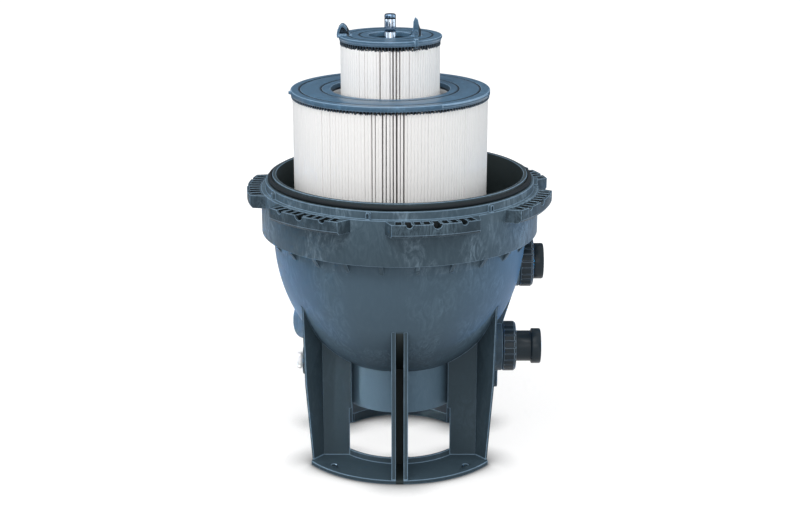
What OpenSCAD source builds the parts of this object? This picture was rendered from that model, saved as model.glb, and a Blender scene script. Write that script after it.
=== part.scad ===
// Cartridge pool filter with its lid off: a plastic tank base on two feet, two nested
// pleated modules, a steel air bleed tube, two pipe unions and a drain.
// Millimetres. The origin is on the floor at the tank axis, +Z is up, the ports face +X.

/* [Bowl] */
// Outer radius of the bowl at its widest level
bowl_r = 288.5; // [285:0.5:292]
// Height of the bowl's widest level above the floor
bowl_z = 520; // [514:1:524]
// Depth of the bowl's curve below its widest level
bowl_depth = 331; // [325:1:337]
// Thickness of the tank's wall
wall = 8; // [6.5:0.5:9]
// Outer radius of the round sump under the bowl
sump_r = 134; // [130:1:138]
// Height of the sump's lower edge above the floor
sump_edge_z = 126; // [118:1:136]
// Height of the sump's inside floor
sump_floor_z = 189; // [186:1:192]

/* [Rim] */
// Distance that the hanging skirt stands out past the bowl's widest level
skirt_out = 26.5; // [24:0.5:30]
// Height of the skirt's lower edge
skirt_edge_z = 532; // [528:1:540]
// Height of the flange's upper face
flange_z = 633; // [628:1:638]
// Height of the shoulder that carries the lid's seal above the flange
shoulder_h = 17; // [14:1:19]
// Width of the shoulder outside the lip
shoulder_w = 16; // [14:1:18]
// Height of the lip above the shoulder
lip_h = 14; // [12:1:17]
// Thickness of the lip
lip_w = 8.5; // [7:0.5:10]
// Thickness of the skirt
skirt_wall = 7; // [5:0.5:9]
// Thickness of the flange
flange_t = 8; // [6:0.5:10]
// Number of gussets inside the skirt
gussets = 24; // [16:2:28]
// Thickness of a gusset
gusset_t = 9; // [6:0.5:10]
// Height of the gussets' lower tips
gusset_tip_z = 506; // [505.5:0.5:515]
// Section diameter of the tank's seal ring
tank_oring_d = 10; // [8:0.5:11]

/* [Clamp lugs] */
// Number of lugs, and of the pegs between them
lugs = 7; // [5:1:8]
// Direction of the first lug, from the front towards the ports
lug_dir = 13.3; // [5:0.1:20]
// Angle that a lug spans along its outer face
lug_arc = 32; // [28:1:34]
// Angle that a lug spans where it leaves the skirt
lug_root_arc = 38; // [36:1:42]
// Distance that a lug stands out of the skirt
lug_out = 32; // [26:1:36]
// Height of a lug
lug_h = 29; // [24:1:34]
// Number of pockets in a lug
pockets = 9; // [6:1:11]
// Thickness of the lug's walls and of the ribs between its pockets
lug_wall = 6; // [5:0.5:7]
// Radius of the notch in the middle of a lug's outer wall
notch_r = 10; // [6:0.5:12]
// Half width of a peg
peg_r = 4.5; // [4:0.25:5]
// Height of a peg
peg_h = 16; // [12:1:17]

/* [Feet] */
// Outer radius of a foot plate
foot_r = 250; // [246:1:254]
// Inner radius of a foot plate
foot_in_r = 154; // [150:1:158]
// Thickness of a foot plate
foot_t = 9.6; // [8:0.2:12]
// Height of the curb along the plate's inner edge
curb_h = 24; // [18:1:30]
// Thickness of the curb
curb_t = 6; // [5:0.5:8]
// Distance of the flat panels from the tank's middle, to their outer face
panel_y = 108; // [104:1:112]
// Half distance between the two flat panels
panel_in_x = 116; // [110:1:122]
// Half distance between the outer edges of the flat panels
panel_out_x = 181; // [177:1:186]
// Thickness of the panels and fins
panel_t = 5.5; // [5:0.5:8]
// Width of the slanted end fins at the floor
fin_w = 31; // [28:0.5:34]
// Direction of the end fins from the panel's plane
fin_turn = 51; // [48:0.5:54]
// How far the end fins lean out from the floor up to their knee
fin_lean = 21; // [16:0.5:24]
// Height of the knee in the end fins' outer edge
fin_knee_z = 200; // [180:5:240]
// How far the end fins lean out from the knee up to the bowl
fin_top_lean = 6; // [3:0.5:9]
// Half width of the channel between the two middle blades
blade_gap = 8.5; // [7:0.5:12]
// Thickness of a middle blade
blade_t = 10; // [7:0.5:12]
// Radius of the floor bolt holes
bolt_r = 6; // [5:0.5:7]
// Distance between the bolt holes of one foot
bolt_dx = 303; // [298:1:308]
// Distance between the bolt holes of the two feet
bolt_dy = 330; // [320:2:336]
// Distance of the panels' upper ends below the bowl's widest level
panel_drop = 165; // [155:5:200]
// Distance of the blades' upper ends below the bowl's widest level
blade_drop = 135; // [125:5:150]

/* [Ports] */
// Height of the lower port
low_port_z = 241.5; // [239:0.5:244]
// Height of the upper port
up_port_z = 451; // [447:0.5:453]
// Distance of the lower port's moulded face inside the bowl's widest level
low_face_in = 48.5; // [44:0.5:52]
// Distance of the upper port's moulded face inside the bowl's widest level
up_face_in = 13.5; // [11.5:0.5:15.5]
// Distance that both pipe ends stand out past the bowl's widest level
port_end_out = 42.5; // [40.5:0.5:47]
// Radius of the moulded port bosses
boss_r = 58; // [56:0.5:60]
// Radius of the pipe that the sockets take
pipe_r = 30.15; // [29:0.05:31]
// Wall of pipes and sleeves
pipe_wall = 3.9; // [3:0.1:4.5]
// Depth of the glue sockets
socket_depth = 32; // [28:0.5:33]
// Radial room round a pipe in its socket
socket_room = 0.05; // [0.02:0.01:0.2]
// Radius of the union thread
thread_r = 50; // [49:0.25:51]
// Length of the union thread
thread_l = 20; // [18:0.5:21]
// Radial running room of a turning piece
turn_room = 0.05; // [0.02:0.01:0.08]
// Outer radius of a union nut
nut_r = 58.6; // [57:0.2:60]
// Length of a union nut
nut_l = 31; // [30:0.5:32]
// Number of grip grooves round a union nut
nut_grooves = 24; // [16:1:28]
// Outer radius of the collar on a pipe tail
collar_r = 41.4; // [38:0.2:43]
// Outer radius of a pipe tail
tail_r = 36; // [35.4:0.2:37]
// Distance of the baffle from the upper port's face
baffle_gap = 59; // [56:0.5:61]

/* [Drain] */
// Height of the drain
drain_z = 205; // [204:0.5:207]
// Distance of the drain's moulded face inside the bowl's widest level
drain_face_in = 66.5; // [62:0.5:70]
// Radius of the drain's bushing flange
drain_flange_r = 33; // [30:0.5:36]
// Radius of the drain plug's head
plug_r = 20; // [19:0.5:22]
// Radius of the drain plug's shank
plug_shank_r = 11; // [10:0.5:12]

/* [Modules] */
// Place of the modules and bleed tube beside the tank axis
module_x = -21; // [-24:0.5:-18]
// Height of the seat that both modules stand on
seat_z = 384; // [380:1:392]
// Height of the outer module
outer_h = 471; // [440:1:490]
// Height of the inner module
inner_h = 590; // [560:1:610]
// Room between the outer module and the bowl's widest level, on the side where they are closest
tank_gap = 44.5; // [42.5:0.5:47.5]
// Radius of the outer module's opening
outer_hole_r = 134; // [132:0.5:137]
// Outer radius of the inner module's caps
inner_r = 115; // [112:0.5:118]
// Radius of the inner module's opening
inner_hole_r = 48.6; // [46:0.2:52]
// Thickness of the cap plates
cap_t = 8; // [6:0.5:9]
// Depth of the cap rims below their plates
cap_rim_h = 3; // [2:0.5:5]
// Length of the comb teeth on the outer module
outer_comb = 7; // [5:0.5:9]
// Length of the comb teeth on the inner module
inner_comb = 10.5; // [8:0.5:14]
// Number of pleats in the outer module
outer_pleats = 180; // [120:4:200]
// Number of pleats in the inner module
inner_pleats = 96; // [60:4:110]
// Distance of the pleats inside the cap rims
pleat_inset = 4; // [3:0.5:5]
// Thickness of the cores' walls
core_t = 2.6; // [2:0.1:3]

/* [Manifold] */
// Height of the manifold's box
manifold_h = 61; // [56:1:64]
// Wall of the manifold
manifold_wall = 6; // [5:0.5:7]
// Thickness of the two seat gaskets
gasket_t = 3; // [2:0.5:4]
// Depth of the modules' spigots in the manifold
spigot_h = 12; // [8:0.5:14]
// Radial room round a spigot
spigot_room = 0.4; // [0.3:0.05:0.6]
// Distance of the outlet leg from the tank axis
outlet_x = 45; // [40:1:50]

/* [Bleed tube] */
// Radius of the bleed tube
tube_r = 12.75; // [12:0.05:13.5]
// Height of the bleed tube's end
tube_top_z = 1009; // [995:1:1014]
// Wall of the bleed tube
tube_wall = 1.2; // [1:0.1:2]
// Height of the plug above the tube's end
tube_plug_h = 11; // [9:0.5:14]

/* [Hidden] */

// Clearances and small sizes that several pieces share
eps = 0.5;                       // overlap that makes a cut or a joint clean
seam = 0.2;                      // room between the bowl and the feet moulded under it
arc_steps = 40;                  // straight steps in the bowl's curve
round_fn = 180;
small_fn = 64;
flare = 2.5;                     // length of the cone behind a tail's collar
tail_flange_r = thread_r - 2.5;
tail_flange_t = 6;
tail_bore_r = pipe_r - pipe_wall;
nut_start = 1;                   // room between a nut and the moulded face
groove_d = 4;                    // section of the union's seal ring
neck_in_r = 44;
elbow_r = 45;                    // bend radius of the outlet elbow

// Levels and radii that follow from the sizes above
split_z = bowl_z - 15;           // where the belt ends and the rim begins
belt_z = up_port_z - boss_r - 1; // where the bowl ends and the belt begins
bore_r = bowl_r - wall;
shoulder_z = flange_z + shoulder_h;
lip_z = shoulder_z + lip_h;
lip_r = bore_r + lip_w;
shoulder_r = lip_r + shoulder_w;
skirt_r = bowl_r + skirt_out;
lug_r = skirt_r + lug_out;
low_face_x = bowl_r - low_face_in;
up_face_x = bowl_r - up_face_in;
port_end_x = bowl_r + port_end_out;
drain_x = bowl_r - drain_face_in;
outer_r = bowl_r + module_x - tank_gap;
plenum_z = seat_z - gasket_t - manifold_h;
outer_spigot_r = outer_hole_r + 6;
inner_spigot_r = inner_r - 9;
outer_seat_r = outer_spigot_r + spigot_room;
inner_seat_r = inner_spigot_r + spigot_room;
manifold_r = outer_seat_r + 2 * manifold_wall;
hub_r = tube_r + 8;
panel_top_z = bowl_z - panel_drop;
return_w = 48;                   // width of the wall that turns in from each flat panel

function bowl_out(z) = bowl_r * sqrt(1 - pow((bowl_z - z) / bowl_depth, 2));
function bowl_in(z) = bore_r * sqrt(1 - pow((bowl_z - z) / (bowl_depth - wall), 2));

// Angle at which a quarter ellipse of a given depth passes a level, and its points between two angles
function level_t(z, depth) = asin((bowl_z - z) / depth);
function bowl_arc(r, depth, t0, t1, steps = arc_steps) = [for (i = [0:steps])
    let (t = t0 + (t1 - t0) * i / steps) [r * cos(t), bowl_z - depth * sin(t)]];

// Turns a revolved profile, drawn as (radius, distance along the axis), to lie along +X
module along_x(z) translate([0, 0, z]) rotate([0, 90, 0]) rotate_extrude($fn = round_fn) children();
module bar_x(r, x0, x1, z) translate([x0, 0, z]) rotate([0, 90, 0]) cylinder(r = r, h = x1 - x0, $fn = round_fn);
module at_module() translate([module_x, 0, 0]) children();
module copies_round(n, first = 0) for (i = [0:n - 1]) rotate([0, 0, first + i * 360 / n]) children();
module ring(r_in, r_out, h) difference() {
    cylinder(r = r_out, h = h, $fn = round_fn);
    translate([0, 0, -eps]) cylinder(r = r_in, h = h + 2 * eps, $fn = round_fn);
}

// The solid that the bowl and sump fill, grown by g
module bowl_fill(g) rotate_extrude($fn = round_fn) polygon(concat([[0, belt_z]],
    bowl_arc(bowl_r + g, bowl_depth + g, level_t(belt_z, bowl_depth + g), acos((sump_r + g) / (bowl_r + g))),
    [[sump_r + g, sump_edge_z], [0, sump_edge_z]]));
module bowl_inside() rotate_extrude($fn = round_fn) polygon(concat([[0, belt_z]],
    bowl_arc(bore_r, bowl_depth - wall, level_t(belt_z, bowl_depth - wall), acos((sump_r - wall) / bore_r)),
    [[sump_r - wall, sump_floor_z], [0, sump_floor_z]]));

// Bowl with its sump, the lower port's boss, the blank boss and the ribs under the manifold
blank_dir = 150;
blank_z = 274;
blank_end = bowl_r - 25.5;
rib_r = [95, 129];
tongue_x = drain_x + 1;
tongue_w = 44;
tongue_z = 139;
web_t = 14;
web_low_x = low_face_x + 2;
web_top_x = up_face_x - 6;
module tank_bowl() color("#4a5a68") difference() {
    union() {
        difference() {
            union() {
                bowl_fill(0);
                bar_x(boss_r, 0, low_face_x, low_port_z);
                rotate([0, 0, blank_dir]) bar_x(boss_r, 0, blank_end, blank_z);
                rotate([0, 0, 180]) bar_x(plug_r + 6, 0, drain_x, drain_z);
                tongue();
                port_web();
            }
            bowl_inside();
            translate([0, 0, sump_edge_z - eps])
                cylinder(r = sump_r - wall, h = sump_floor_z - wall - sump_edge_z + eps, $fn = round_fn);
        }
        copies_round(4, 45) manifold_rib();
    }
    bar_x(neck_in_r + socket_room, 0, low_face_x + eps, low_port_z);
    rotate([0, 0, blank_dir]) bar_x(boss_r - wall, sump_r - 40, blank_end - wall, blank_z);
    rotate([0, 0, 180]) {
        bar_x(bushing_r + socket_room, drain_x - drain_socket, drain_x + eps, drain_z);
        bar_x(plug_shank_r, sump_r - wall - 4, drain_x, drain_z);
    }
}
module tongue() translate([tongue_x, 0, 0]) rotate([90, 0, 90]) linear_extrude(wall) union() {
    translate([0, tongue_z + tongue_w / 2]) circle(d = tongue_w, $fn = small_fn);
    translate([-tongue_w / 2, tongue_z + tongue_w / 2]) square([tongue_w, low_port_z - tongue_z - tongue_w / 2]);
}
// Straight web from the lower port's boss up to the belt under the upper port
module port_web() rotate([90, 0, 0]) translate([0, 0, -web_t / 2]) linear_extrude(web_t) polygon([
    [sump_r, low_port_z + boss_r - wall], [low_face_x - 1, low_port_z + boss_r - wall],
    [web_low_x, low_port_z + nut_r + 2],
    [web_top_x, belt_z], [sump_r, belt_z]]);
module manifold_rib() translate([rib_r[0], -wall / 2, sump_floor_z - wall / 2])
    cube([rib_r[1] - rib_r[0], wall, plenum_z - sump_floor_z + wall / 2]);

// Belt of the bowl with the upper port's boss
belt_steps = 12;
module tank_belt() color("#4a5a68") difference() {
    union() {
        rotate_extrude($fn = round_fn) polygon(concat(belt_arc(bowl_r, bowl_depth),
            [for (i = [belt_steps:-1:0]) belt_arc(bore_r, bowl_depth - wall)[i]]));
        bar_x(boss_r, up_face_x - 25, up_face_x, up_port_z);
    }
    bar_x(neck_in_r + socket_room, up_face_x - 40, up_face_x + eps, up_port_z);
    union_room();
}
function belt_arc(r, depth) = bowl_arc(r, depth, level_t(split_z, depth), level_t(belt_z, depth), belt_steps);

// Rim: lip, shoulder, flange and hanging skirt in one profile, with gussets and pegs
module tank_rim() color("#4f5f6d") difference() {
    rim_solid();
    union_room();
}
// Room that the upper union's nut takes out of the belt and the rim
module union_room() bar_x(nut_r + 2, up_face_x, up_face_x + 40, up_port_z);
module rim_solid() {
    rotate_extrude($fn = round_fn) polygon([
        [bowl_in(split_z), split_z], [bore_r, bowl_z], [bore_r, lip_z], [lip_r, lip_z],
        [lip_r, shoulder_z], [shoulder_r, shoulder_z], [shoulder_r, flange_z],
        [skirt_r, flange_z], [skirt_r, skirt_edge_z], [skirt_r - skirt_wall, skirt_edge_z],
        [skirt_r - skirt_wall, flange_z - flange_t], [shoulder_r - wall, flange_z - flange_t],
        [shoulder_r - wall, shoulder_z - wall], [bowl_r, shoulder_z - wall],
        [bowl_r, bowl_z], [bowl_out(split_z), split_z]]);
    copies_round(gussets, 180 / gussets) gusset();
    copies_round(lugs, lug_dir - 90 + 180 / lugs) peg();
}
module gusset() rotate([90, 0, 0]) translate([0, 0, -gusset_t / 2]) linear_extrude(gusset_t) polygon([
    [bowl_r - wall / 2, gusset_tip_z], [bowl_r + 1, gusset_tip_z],
    [skirt_r - skirt_wall / 2, skirt_edge_z + 4], [skirt_r - skirt_wall / 2, flange_z - flange_t / 2],
    [bowl_r - wall / 2, flange_z - flange_t / 2]]);
module sector(arc) rotate([0, 0, -arc / 2]) rotate_extrude(angle = arc, $fn = round_fn) children();
// A hollow arch that stands on the flange against the shoulder
module peg() translate([shoulder_r - 1, 0, flange_z - eps]) rotate([90, 0, 90])
    linear_extrude(skirt_r - shoulder_r) difference() {
        union() {
            translate([-peg_r, 0]) square([2 * peg_r, peg_h - peg_r + eps]);
            translate([0, peg_h - peg_r + eps]) circle(r = peg_r, $fn = 32);
        }
        translate([-peg_r / 2, 3]) square([peg_r, peg_h - peg_r - 3]);
        translate([0, peg_h - peg_r]) circle(r = peg_r / 2, $fn = 32);
    }

// Clamp lugs outside the skirt, each with a row of open pockets and three notches in its outer wall
module clamp_lugs() color("#4f5f6d") copies_round(lugs, lug_dir - 90) lug();
module lug() {
    z0 = flange_z - lug_h;
    pitch = (lug_arc - 1) / pockets;
    rib_deg = 1.15 * lug_wall / lug_r * 180 / PI;
    difference() {
        intersection() {
            sector(lug_root_arc + 1) polygon([[skirt_r, z0], [lug_r - 5, z0], [lug_r, z0 + 6],
                [lug_r, flange_z], [skirt_r, flange_z]]);
            translate([0, 0, z0 - eps]) linear_extrude(lug_h + 2 * eps) polygon([[skirt_r / 2, 0],
                lug_corner(skirt_r, -lug_root_arc / 2), lug_corner(lug_r + 1, -lug_arc / 2),
                lug_corner(lug_r + 30, 0), lug_corner(lug_r + 1, lug_arc / 2),
                lug_corner(skirt_r, lug_root_arc / 2)]);
        }
        for (i = [0:pockets - 1]) rotate([0, 0, (i - (pockets - 1) / 2) * pitch])
            sector(pitch - rib_deg) translate([skirt_r + lug_wall / 2, z0 + lug_wall])
                square([lug_out - 1.5 * lug_wall, lug_h]);
        for (s = [[0, notch_r], [-0.31 * lug_arc, notch_r * 0.7], [0.31 * lug_arc, notch_r * 0.7]])
            rotate([0, 0, s[0]]) bar_x(s[1], lug_r - lug_wall - 1, lug_r + eps, flange_z);
    }
}
function lug_corner(r, deg) = [r * cos(deg), r * sin(deg)];
module tank_oring() color("#16181a") rotate_extrude($fn = round_fn)
    translate([lip_r + tank_oring_d / 2, shoulder_z + tank_oring_d / 2]) circle(d = tank_oring_d, $fn = 32);

// One foot: plate with a curb, two flat panels with slanted end fins, two blades in the middle
module foot() color("#333b43") difference() {
    union() {
        linear_extrude(foot_t) intersection() {
            difference() { circle(r = foot_r, $fn = round_fn); circle(r = foot_in_r, $fn = round_fn); }
            plate_outline();
        }
        linear_extrude(curb_h) intersection() {
            difference() {
                circle(r = foot_in_r + curb_t, $fn = round_fn);
                circle(r = foot_in_r, $fn = round_fn);
            }
            translate([-panel_in_x - eps, -foot_r])
                square([2 * panel_in_x + 2 * eps, foot_r - panel_y + panel_t / 2]);
        }
        for (side = [0, 1]) mirror([side, 0, 0]) {
            translate([panel_in_x, -panel_y, 0]) cube([panel_out_x - panel_in_x, panel_t, panel_top_z]);
            translate([panel_in_x - panel_t, -panel_y, sump_edge_z])
                cube([panel_t + eps, return_w, panel_top_z - sump_edge_z]);
            translate([panel_out_x, -panel_y, 0]) rotate([0, 0, -fin_turn]) fin();
            translate([blade_gap, 0, 0]) rotate([90, 0, 90]) linear_extrude(blade_t) blade_outline();
        }
        translate([-blade_gap - eps, -foot_in_r - curb_t, 0])
            cube([2 * blade_gap + 2 * eps, curb_t, panel_top_z]);
    }
    bowl_fill(seam);
    for (side = [-1, 1]) translate([side * bolt_dx / 2, -bolt_dy / 2, -eps])
        cylinder(r = bolt_r, h = foot_t + 2 * eps, $fn = 48);
}
// The plate ends inside the thickness of the panels and fins, and a little past the fins' ends
plate_past_fin = 6;
module plate_outline() {
    mid_y = panel_t / 2 - panel_y;
    root = fin_point(3);
    end = fin_point(fin_w + plate_past_fin);
    polygon([[2 - panel_out_x, mid_y], [panel_out_x - 2, mid_y], root, end, [end[0] + 4, -foot_r - eps],
        [-end[0] - 4, -foot_r - eps], [-end[0], end[1]], [-root[0], root[1]]]);
}
function fin_point(along) = [panel_out_x + along * cos(fin_turn), -panel_y - along * sin(fin_turn)];
module fin() translate([0, panel_t / 2, 0]) rotate([90, 0, 0]) linear_extrude(panel_t) polygon([
    [-panel_t / 3, 0], [fin_w, 0], [fin_w + fin_lean, fin_knee_z],
    [fin_w + fin_lean + fin_top_lean, bowl_z * 0.75], [-panel_t / 3, bowl_z * 0.75]]);
module blade_outline() polygon([
    [-foot_r + 3, 0], [-foot_in_r, 0], [-foot_in_r, curb_h], [-sump_r + 4, sump_edge_z - 4],
    [-sump_r + 4, bowl_z - blade_drop], [-foot_r - 6, bowl_z - blade_drop]]);
module front_foot() foot();
// The rear foot stops under the blank boss
module rear_foot() difference() {
    mirror([0, 1, 0]) foot();
    rotate([0, 0, blank_dir]) {
        bar_x(boss_r + seam, 0, blank_end + wall, blank_z);
        translate([sump_r, -boss_r - seam, blank_z]) cube([blank_end + wall - sump_r, 2 * (boss_r + seam), bowl_z]);
    }
}

// Manifold: a round box with two seat walls, a divider under the inner seat and a hub for the tube
module manifold() color("#2b3036") at_module() translate([0, 0, plenum_z]) difference() {
    union() {
        rotate_extrude($fn = round_fn) polygon([
            [0, 0], [manifold_r, 0], [manifold_r, manifold_h], [outer_seat_r, manifold_h],
            [outer_seat_r, manifold_wall], [0, manifold_wall]]);
        translate([0, 0, manifold_h - spigot_h - 2 * manifold_wall]) cylinder(r = inner_seat_r + manifold_wall,
            h = manifold_wall, $fn = round_fn);
        translate([0, 0, manifold_h - spigot_h - 2 * manifold_wall])
            ring(inner_seat_r, inner_seat_r + manifold_wall, spigot_h + 2 * manifold_wall);
        cylinder(r = hub_r, h = manifold_h, $fn = small_fn);
        copies_round(6, 30) translate([hub_r - 2, -manifold_wall / 2, manifold_wall / 2])
            cube([outer_seat_r - hub_r + 4, manifold_wall, manifold_h - spigot_h - 2 * manifold_wall]);
    }
    translate([0, 0, manifold_wall]) cylinder(r = tube_r + socket_room, h = manifold_h, $fn = small_fn);
    translate([outlet_x - module_x, 0, -eps])
        cylinder(r = pipe_r + socket_room, h = manifold_wall + 2 * eps, $fn = small_fn);
}
module outer_seat_gasket() color("#16181a") at_module() translate([0, 0, seat_z - gasket_t])
    ring(outer_seat_r + 1, manifold_r - 1, gasket_t);
module inner_seat_gasket() color("#16181a") at_module() translate([0, 0, seat_z - gasket_t])
    ring(inner_seat_r + 0.5, inner_seat_r + manifold_wall - 0.5, gasket_t);

// Elbow from the manifold's floor to the lower port
module outlet_elbow() color("#24282d") difference() {
    elbow_solid(pipe_r, 0);
    elbow_solid(tail_bore_r, eps);
}
module elbow_solid(r, over) {
    leg_z = low_port_z + elbow_r;
    translate([outlet_x, 0, leg_z]) cylinder(r = r, h = plenum_z + manifold_wall - leg_z + over, $fn = small_fn);
    if (over == 0) translate([outlet_x, 0, plenum_z - manifold_wall])
        cylinder(r = r + 6, h = manifold_wall, $fn = small_fn);
    translate([outlet_x + elbow_r, 0, leg_z]) rotate([90, 0, 0]) rotate([0, 0, 180])
        rotate_extrude(angle = 90, $fn = round_fn) translate([elbow_r, 0]) circle(r = r, $fn = small_fn);
    bar_x(r, outlet_x + elbow_r, low_face_x - 4 + over, low_port_z);
}
// Baffle plate on four posts in front of the upper port
module inlet_diffuser() color("#24282d") {
    x = up_face_x - baffle_gap;
    ring_x = up_face_x - 35;
    difference() {
        union() {
            along_x(up_port_z) translate([0, ring_x]) square([neck_in_r, 5]);
            bar_x(pipe_r, ring_x, up_face_x - 8, up_port_z);
            bar_x(neck_in_r + 4, x, x + 4, up_port_z);
            for (a = [45:90:315]) translate([0, 38 * cos(a), up_port_z + 38 * sin(a)])
                rotate([0, 90, 0]) translate([0, 0, x]) cylinder(r = 4, h = ring_x - x + 1, $fn = 32);
        }
        bar_x(tail_bore_r, ring_x - eps, up_face_x, up_port_z);
    }
}

// Union pieces. Each profile is drawn as (radius, distance from the moulded face)
module neck(face_x, in_l, z) color("#1d2024") along_x(z) translate([0, face_x]) polygon([
    [pipe_r + socket_room, -in_l], [neck_in_r, -in_l], [neck_in_r, 0], [thread_r - 1.5, 0],
    [thread_r, 1.5], [thread_r, thread_l - 1.5], [thread_r - 1.5, thread_l],
    [tail_bore_r + 11.5, thread_l], [tail_bore_r + 11.5, thread_l - groove_d],
    [tail_bore_r + 7, thread_l - groove_d], [tail_bore_r + 7, thread_l],
    [tail_bore_r, thread_l], [tail_bore_r, -3], [pipe_r + socket_room, -3]]);
module union_oring(face_x, z) color("#0e0f10") along_x(z)
    translate([tail_bore_r + 9.25, face_x + thread_l - groove_d / 2]) circle(d = groove_d, $fn = 32);
module tailpiece(face_x, z) {
    x0 = face_x + thread_l;
    x1 = face_x + nut_start + nut_l;
    collar_x = port_end_x - 21;
    color("#24282d") along_x(z) polygon([
        [tail_bore_r, x0], [tail_flange_r, x0], [tail_flange_r, x0 + tail_flange_t], [tail_r, x0 + tail_flange_t],
        [tail_r, max(collar_x - flare, x1 + 0.4)], [collar_r, collar_x], [collar_r, port_end_x - 3],
        [collar_r - 1.5, port_end_x], [pipe_r + socket_room, port_end_x],
        [pipe_r + socket_room, port_end_x - socket_depth], [tail_bore_r, port_end_x - socket_depth]]);
}
module union_nut(face_x, z) color("#1d2024") difference() {
    lip_x = thread_l + tail_flange_t + 0.4;
    end_x = nut_start + nut_l;
    along_x(z) translate([0, face_x]) polygon([
        [thread_r + turn_room, nut_start], [nut_r - 2, nut_start], [nut_r, nut_start + 2],
        [nut_r, end_x - 5], [nut_r - 4, end_x], [tail_r + 0.6, end_x], [tail_r + 0.6, lip_x],
        [thread_r + turn_room, lip_x]]);
    translate([0, 0, z]) for (i = [0:nut_grooves - 1]) rotate([i * 360 / nut_grooves, 0, 0])
        translate([face_x + nut_start + 4, -1.6, nut_r - 2.6]) cube([nut_l, 3.2, 6]);
}
low_neck_in = 38;                // depth of a neck in its port
up_neck_in = 30;
module lower_neck() neck(low_face_x, low_neck_in, low_port_z);
module lower_union_oring() union_oring(low_face_x, low_port_z);
module lower_tailpiece() tailpiece(low_face_x, low_port_z);
module lower_union_nut() union_nut(low_face_x, low_port_z);
module upper_neck() neck(up_face_x, up_neck_in, up_port_z);
module upper_union_oring() union_oring(up_face_x, up_port_z);
module upper_tailpiece() tailpiece(up_face_x, up_port_z);
module upper_union_nut() union_nut(up_face_x, up_port_z);

// Drain: a dark bushing in the moulded boss, with a seal ring in its mouth, and a pale plug
bushing_t = 6.5;
bushing_r = plug_shank_r + 8;
drain_socket = 30;               // depth of the bushing's socket in the moulded boss
drain_oring_t = 3;
drain_oring_w = 4.5;
plug_neck_r = plug_shank_r + 5;
plug_neck_end = bushing_t + 4;
plug_end = plug_neck_end + 9.5;
plug_grips = 12;
module drain_side() rotate([0, 0, 180]) along_x(drain_z) translate([0, drain_x]) children();
module drain_bushing() color("#1d2024") drain_side() polygon([
    [plug_shank_r + turn_room, 1 - drain_socket], [bushing_r, 1 - drain_socket], [bushing_r, 0],
    [drain_flange_r, 0], [drain_flange_r, bushing_t - 2], [drain_flange_r - 2, bushing_t],
    [plug_shank_r + drain_oring_w + 0.6, bushing_t], [plug_shank_r + drain_oring_w + 0.6, bushing_t - drain_oring_t],
    [plug_shank_r + turn_room, bushing_t - drain_oring_t]]);
module drain_oring() color("#0e0f10") drain_side() translate([plug_shank_r + 0.5, bushing_t - drain_oring_t])
    square([drain_oring_w, drain_oring_t]);
module drain_plug() color("#e6e2d8") difference() {
    drain_side() polygon([
        [0, 8 - drain_socket], [plug_shank_r - 2, 8 - drain_socket], [plug_shank_r, 10 - drain_socket],
        [plug_shank_r, bushing_t], [plug_neck_r, bushing_t], [plug_neck_r, plug_neck_end],
        [plug_r, plug_neck_end], [plug_r, plug_end - 2], [plug_r - 2, plug_end], [0, plug_end]]);
    translate([-drain_x - plug_end, 0, drain_z]) for (i = [0:plug_grips - 1]) rotate([i * 360 / plug_grips, 0, 0])
        translate([-eps, -1.5, plug_r - 1.5]) cube([plug_end - plug_neck_end - 1.5 + eps, 3, 4]);
}

// Steel bleed tube in the manifold's hub, with a domed plug on a seal ring at its end
module air_bleed_tube() color("#c3ccd6") at_module() difference() {
    z0 = plenum_z + manifold_wall;
    translate([0, 0, z0]) cylinder(r = tube_r, h = tube_top_z - z0, $fn = small_fn);
    translate([0, 0, z0 - eps]) cylinder(r = tube_r - tube_wall, h = tube_top_z - z0 + 2 * eps, $fn = small_fn);
    translate([0, 0, seat_z + inner_h + 6]) difference() {
        cylinder(r = tube_r + 1, h = 1.5, $fn = small_fn);
        translate([0, 0, -eps]) cylinder(r = tube_r - 0.6, h = 2, $fn = small_fn);
    }
}
tube_band_h = 2.5;
module tube_oring() color("#101214") at_module() translate([0, 0, tube_top_z])
    ring(tube_r - tube_wall - 1, tube_r - 0.3, tube_band_h);
module tube_plug() color("#aab4c0") at_module() rotate_extrude($fn = small_fn) {
    z1 = tube_top_z + tube_band_h;
    z2 = tube_top_z + tube_plug_h;
    polygon(concat([[0, tube_top_z - 14], [tube_r - tube_wall - 1.2, tube_top_z - 14],
        [tube_r - tube_wall - 1.2, z1], [tube_r, z1], [tube_r, z2 - 4]],
        [for (t = [15:15:90]) [tube_r - 4 + 4 * cos(t), z2 - 4 + 4 * sin(t)]], [[0, z2]]));
}

// Module caps. A cap is drawn as a top cap with its outer face at z = 0 and its rim below it
module end_cap(r, hole_r, comb_n, comb_l, step) {
    low = -cap_t - cap_rim_h;
    rotate_extrude($fn = round_fn) polygon(concat(
        [[hole_r, 0], [hole_r, -cap_t - comb_l], [hole_r + 3, -cap_t - comb_l], [hole_r + 3, -cap_t],
        [r - rim_w, -cap_t], [r - rim_w, low], [r - step, low], [r - step, -cap_t + 1], [r, -cap_t + 2.5],
        [r, -1.5], [r - 1, 0]],
        [for (g = [r - 21, hole_r + 20]) if (g > hole_r + 15) for (p = [[0.8, 0], [0.8, -1], [-0.8, -1], [-0.8, 0]])
            [g + p[0], p[1]]]));
    translate([0, 0, low - comb_l]) linear_extrude(comb_l + eps) comb(comb_n, r - step - 1.4, r - rim_w + 1);
}
// Teeth that stand in the gaps between the pleats, under a cap's rim
module comb(n, r_tip, r_root) for (i = [0:n - 1]) rotate((i + 0.5) * 360 / n)
    translate([r_root, -tooth_share * PI * r_tip / n]) square([r_tip - r_root, tooth_share * 2 * PI * r_tip / n]);
module spigot(r) translate([0, 0, -cap_t]) ring(r - 5, r, cap_t + spigot_h);

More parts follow.
